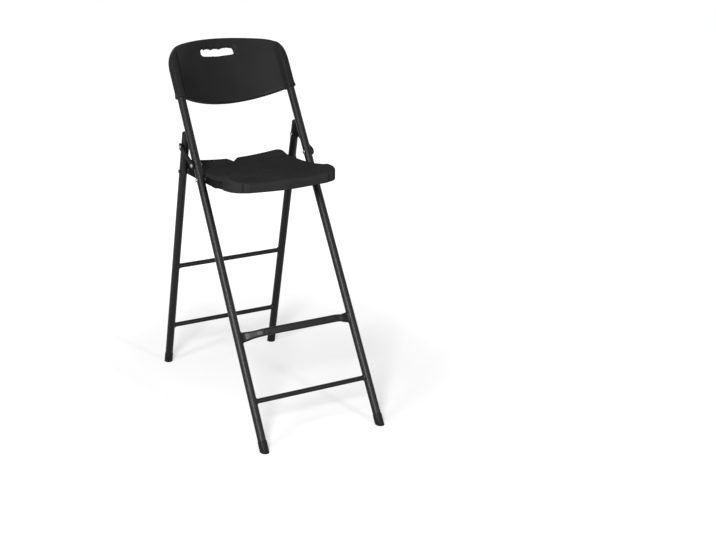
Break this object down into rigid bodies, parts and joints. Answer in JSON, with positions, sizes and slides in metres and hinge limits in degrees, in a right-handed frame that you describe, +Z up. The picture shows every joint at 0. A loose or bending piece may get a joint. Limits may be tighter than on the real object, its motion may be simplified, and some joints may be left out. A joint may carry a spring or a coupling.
{
  "type": "folding bar stool",
  "caption": "Folding bar stool: leaning round-tube frames, dished plastic seat on hinged steel rails, curved plastic backrest with a hand hole, bowed footrest and cross bars.",
  "frame": {"origin": "on the floor, under the middle of the open stool's box", "axes": "+Z up, -Y the way the sitter faces, +X to the right seen from the front"},
  "size_m": [0.42, 0.7818, 1.0683],
  "materials": {
    "black_steel": "satin black powder coat",
    "black_plastic": "finely grained satin black",
    "cap_plastic": "matt black",
    "bright_steel": "bright zinc",
    "grey_nylon": "dark natural"
  },
  "bodies": {
    "front_frame": {"front_cross_bar": "black_steel", "footrest": "black_steel", "backrest_shell": "black_plastic", "front_tube_left": "black_steel", "front_foot_cap_left": "cap_plastic", "backrest_screw_left": "black_steel", "seat_pivot_rivet_left": "bright_steel", "seat_pivot_washer_left": "grey_nylon", "link_upper_rivet_left": "bright_steel", "link_upper_washer_left": "grey_nylon", "front_tube_right": "black_steel", "front_foot_cap_right": "cap_plastic", "backrest_screw_right": "black_steel", "seat_pivot_rivet_right": "bright_steel", "seat_pivot_washer_right": "grey_nylon", "link_upper_rivet_right": "bright_steel", "link_upper_washer_right": "grey_nylon"},
    "seat": {"seat_shell": "black_plastic", "seat_cross_strip": "black_steel", "seat_rail_left": "black_steel", "seat_rear_rivet_head_left": "bright_steel", "strip_rivet_left": "bright_steel", "rail_screw_left_1": "black_steel", "rail_screw_left_2": "black_steel", "seat_rail_right": "black_steel", "seat_rear_rivet_head_right": "bright_steel", "strip_rivet_right": "bright_steel", "rail_screw_right_1": "black_steel", "rail_screw_right_2": "black_steel"},
    "links": {"link_plate_left": "black_steel", "link_plate_right": "black_steel"},
    "rear_frame": {"rear_upper_bar": "black_steel", "rear_lower_bar": "black_steel", "rear_tube_left": "black_steel", "rear_foot_cap_left": "cap_plastic", "rear_top_plug_left": "cap_plastic", "link_lower_rivet_left": "bright_steel", "link_lower_washer_left": "grey_nylon", "seat_rear_rivet_left": "black_steel", "seat_rear_washer_left": "grey_nylon", "rear_tube_right": "black_steel", "rear_foot_cap_right": "cap_plastic", "rear_top_plug_right": "cap_plastic", "link_lower_rivet_right": "bright_steel", "link_lower_washer_right": "grey_nylon", "seat_rear_rivet_right": "black_steel", "seat_rear_washer_right": "grey_nylon"}
  },
  "joints": [
    {"name": "seat_fold", "type": "hinge", "parent": "front_frame", "child": "seat", "pos_m": [0, 0.06664, 0.70292], "axis": [-1, 0, 0], "range_deg": [0, 101.8]},
    {"name": "link_fold", "type": "hinge", "parent": "front_frame", "child": "links", "pos_m": [0, 0.09163, 0.74272], "axis": [-1, 0, 0], "range_deg": [0, 119.6]},
    {"name": "rear_frame_fold", "type": "hinge", "parent": "links", "child": "rear_frame", "pos_m": [0, 0.1786, 0.78139], "axis": [-1, 0, 0], "range_deg": [-75.1, 0]}
  ],
  "couplings": [
    {"joint": "link_fold", "follows": "seat_fold", "ratio": 1.1746},
    {"joint": "rear_frame_fold", "follows": "seat_fold", "ratio": -0.73743}
  ]
}
